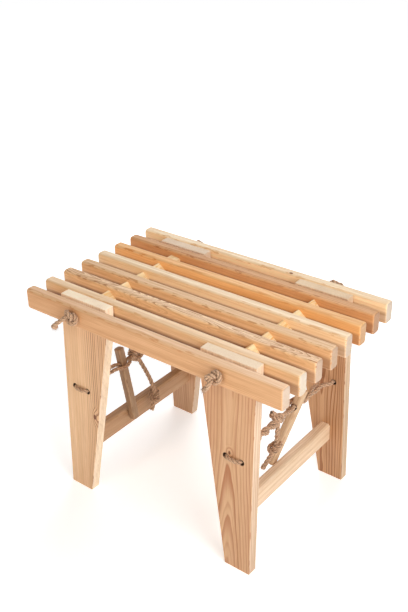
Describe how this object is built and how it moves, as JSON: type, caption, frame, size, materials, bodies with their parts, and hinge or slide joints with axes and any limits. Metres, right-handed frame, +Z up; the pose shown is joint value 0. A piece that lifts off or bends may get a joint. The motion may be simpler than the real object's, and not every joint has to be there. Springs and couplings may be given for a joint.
{
  "type": "rope-strung slatted stool",
  "caption": "Low slatted wooden stool or side table whose slats are threaded on ropes and whose leg frames are tightened by twisted rope and a turning stick.",
  "frame": {"origin": "centre of the footprint, on the floor", "axes": "+X along the slats, +Y from the front slat to the back slat, +Z up"},
  "size_m": [0.61, 0.425, 0.455],
  "materials": {
    "pale_pine": "planed pale pine, oiled, satin",
    "honey_pine": "planed honey-coloured pine, oiled, satin",
    "figured_pine": "planed pine with bold flame figure, oiled, satin",
    "orange_pine": "planed orange-toned pine, oiled, satin",
    "red_larch": "planed reddish larch, oiled, satin",
    "leg_larch": "planed larch with plain and flame grain, oiled, satin",
    "flax_rope": "three-strand laid natural fibre rope, dry and slightly hairy"
  },
  "bodies": {
    "deck": {"slat_1": "honey_pine", "slat_2": "pale_pine", "slat_3": "figured_pine", "slat_4": "honey_pine", "slat_5": "pale_pine", "slat_6": "orange_pine", "slat_7": "red_larch", "slat_8": "pale_pine", "spacer_left_1": "pale_pine", "spacer_left_2": "pale_pine", "spacer_left_3": "pale_pine", "spacer_left_4": "pale_pine", "spacer_left_5": "pale_pine", "spacer_right_1": "pale_pine", "spacer_right_2": "pale_pine", "spacer_right_3": "pale_pine", "spacer_right_4": "pale_pine", "spacer_right_5": "pale_pine", "deck_rope_left": "flax_rope", "deck_rope_right": "flax_rope", "deck_knot_front_left": "flax_rope", "deck_knot_back_left": "flax_rope", "deck_knot_front_right": "flax_rope", "deck_knot_back_right": "flax_rope"},
    "left_frame": {"leg_front_left": "leg_larch", "leg_back_left": "leg_larch", "stretcher_left": "leg_larch", "tension_rope_front_left": "flax_rope", "tension_rope_back_left": "flax_rope", "splice_knot_left": "flax_rope", "hanging_cord_left": "flax_rope", "stopper_knot_left": "flax_rope"},
    "left_stick": {"stick_left": "honey_pine", "stick_rope_left": "flax_rope"},
    "right_frame": {"leg_front_right": "leg_larch", "leg_back_right": "leg_larch", "stretcher_right": "leg_larch", "tension_rope_front_right": "flax_rope", "tension_rope_back_right": "flax_rope", "splice_knot_right": "flax_rope", "hanging_cord_right": "flax_rope", "stopper_knot_right": "flax_rope"},
    "right_stick": {"stick_right": "honey_pine", "stick_rope_right": "flax_rope"}
  },
  "joints": [
    {"name": "left_frame_swing", "type": "hinge", "parent": "deck", "child": "left_frame", "pos_m": [-0.174, 0, 0.43], "axis": [0, -1, 0], "range_deg": [-20, 22]},
    {"name": "left_stick_turn", "type": "hinge", "parent": "left_frame", "child": "left_stick", "pos_m": [-0.192, -0.05, 0.251], "axis": [0, -1, 0], "range_deg": [0, 110], "stiffness_Nm_per_rad": 0.3, "springref_deg": -85.94},
    {"name": "right_frame_swing", "type": "hinge", "parent": "deck", "child": "right_frame", "pos_m": [0.174, 0, 0.43], "axis": [0, 1, 0], "range_deg": [-20, 22]},
    {"name": "right_stick_turn", "type": "hinge", "parent": "right_frame", "child": "right_stick", "pos_m": [0.192, 0.038, 0.251], "axis": [0, 1, 0], "range_deg": [0, 110], "stiffness_Nm_per_rad": 0.3, "springref_deg": -85.94}
  ]
}
